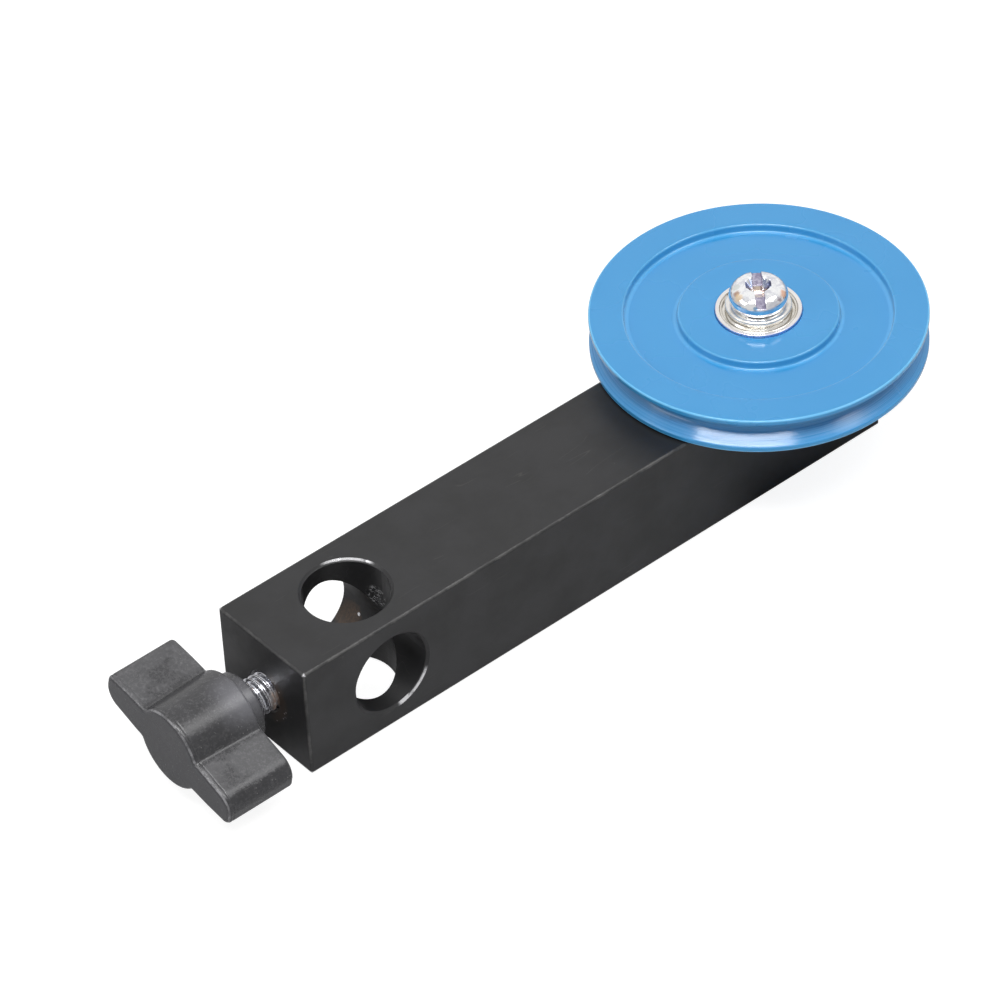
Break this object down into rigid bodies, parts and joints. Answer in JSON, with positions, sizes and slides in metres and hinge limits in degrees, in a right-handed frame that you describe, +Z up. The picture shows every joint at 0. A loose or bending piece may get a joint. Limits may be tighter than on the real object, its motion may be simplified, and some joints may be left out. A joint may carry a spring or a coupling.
{
  "type": "rod-mounted pulley",
  "caption": "Square steel bar with crossed rod bores and a wing clamp screw at one end and a grooved wheel on a ball bearing at the other, for a laboratory stand.",
  "frame": {"origin": "axis of the upright rod bore, at the bar's underside", "axes": "+X along the bar towards the wheel, +Z up along the upright rod bore and the wheel's axle"},
  "size_m": [0.1388, 0.0508, 0.0308],
  "materials": {
    "blackened_steel": "satin black oxide with fine scratches and bright worn edges",
    "blue_plastic": "glossy moulded sky-blue plastic",
    "bearing_steel": "ground and polished bearing steel",
    "ball_steel": "mirror-polished balls",
    "cage_steel": "pressed sheet",
    "shield_steel": "pressed bright sheet",
    "plated_steel": "bright nickel plate",
    "black_plastic": "worn moulded black plastic, mottled grey with a soft sheen",
    "bright_steel": "turned bright steel thread"
  },
  "bodies": {
    "root": {"clamp_bar": "blackened_steel", "axle_screw": "plated_steel", "screw_washer": "plated_steel", "spacer_sleeve": "bright_steel", "bearing_inner_ring": "bearing_steel"},
    "wheel": {"pulley_wheel": "blue_plastic", "bearing_outer_ring": "bearing_steel", "upper_shield": "shield_steel", "lower_shield": "shield_steel", "upper_snap_ring": "shield_steel", "lower_snap_ring": "shield_steel"},
    "ball_set": {"bearing_ball_1": "ball_steel", "bearing_ball_2": "ball_steel", "bearing_ball_3": "ball_steel", "bearing_ball_4": "ball_steel", "bearing_ball_5": "ball_steel", "bearing_ball_6": "ball_steel", "bearing_ball_7": "ball_steel", "bearing_ball_8": "ball_steel", "cage_upper_half": "cage_steel", "cage_lower_half": "cage_steel"},
    "stud": {"clamp_stud": "bright_steel"},
    "knob": {"clamp_knob": "black_plastic"}
  },
  "joints": [
    {"name": "wheel_spin", "type": "hinge", "parent": "root", "child": "wheel", "pos_m": [0.08, 0, 0.0227], "axis": [0, 0, 1], "continuous": true},
    {"name": "ball_orbit", "type": "hinge", "parent": "root", "child": "ball_set", "pos_m": [0.08, 0, 0.0241], "axis": [0, 0, 1], "continuous": true},
    {"name": "screw_advance", "type": "slide", "parent": "root", "child": "stud", "axis": [1, 0, 0], "range_m": [-0.0075, 0.003]},
    {"name": "knob_turn", "type": "hinge", "parent": "stud", "child": "knob", "pos_m": [-0.0157, 0, 0.0097], "axis": [1, 0, 0], "range_deg": [-2700, 1080]}
  ],
  "couplings": [
    {"joint": "ball_orbit", "follows": "wheel_spin", "ratio": 0.61111},
    {"joint": "screw_advance", "follows": "knob_turn", "m_per_rad": 0.00015915}
  ]
}
